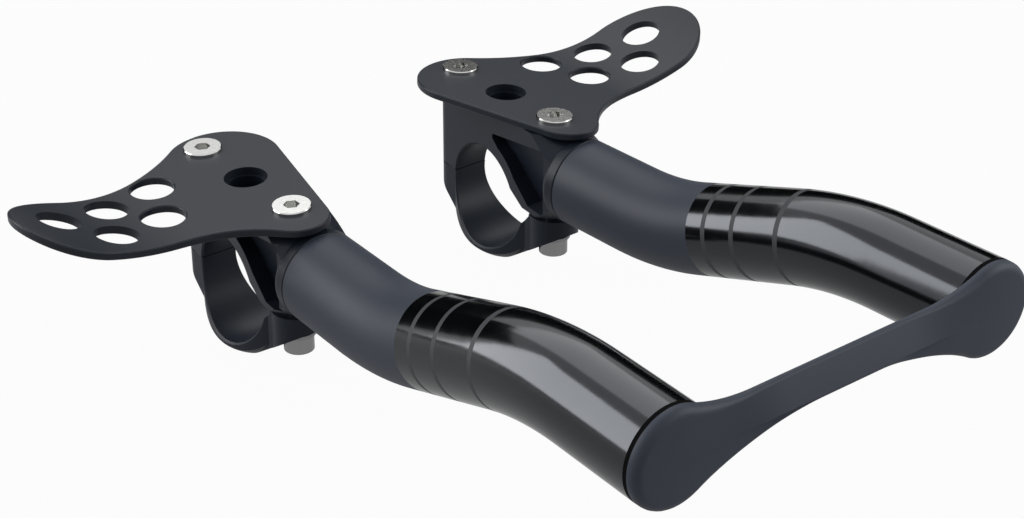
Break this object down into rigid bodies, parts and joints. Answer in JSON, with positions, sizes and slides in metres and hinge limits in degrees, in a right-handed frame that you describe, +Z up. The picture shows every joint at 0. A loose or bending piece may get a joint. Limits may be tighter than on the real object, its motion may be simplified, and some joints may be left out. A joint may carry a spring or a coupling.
{
  "type": "aero handlebar extension",
  "caption": "Short clip-on aero handlebar extension: S-bent tubes from handlebar clamps, joined at the front by a moulded bridge, with curled drilled armrest plates over the clamps.",
  "frame": {"origin": "on the handlebar clamps' axis, midway between the two arms", "axes": "+X forward along the tubes, +Y to the rider's left along the handlebar, +Z up"},
  "size_m": [0.2116, 0.23, 0.0702],
  "materials": {
    "black_anodised_plate": "matte black anodised sheet",
    "stainless_screw": "bright stainless steel",
    "black_forging": "satin black anodised forging",
    "black_steel_washer": "plain steel",
    "black_tube": "matte black with gloss black bands",
    "black_rubber_ring": "black rubber",
    "black_moulding": "fine-grained black moulding"
  },
  "bodies": {
    "root": {"armrest_plate_left": "black_anodised_plate", "armrest_plate_right": "black_anodised_plate", "armrest_screw_rear_left": "stainless_screw", "armrest_screw_rear_right": "stainless_screw", "armrest_screw_front_left": "stainless_screw", "armrest_screw_front_right": "stainless_screw", "clamp_bracket_left": "black_forging", "clamp_bracket_right": "black_forging", "lower_clamp_left": "black_forging", "lower_clamp_right": "black_forging", "clamp_washer_left": "black_steel_washer", "clamp_washer_right": "black_steel_washer", "clamp_bolt_left": "stainless_screw", "clamp_bolt_right": "stainless_screw", "extension_tube_left": "black_tube", "extension_tube_right": "black_tube", "end_ring_left": "black_rubber_ring", "end_ring_right": "black_rubber_ring", "bridge": "black_moulding"}
  },
  "joints": []
}
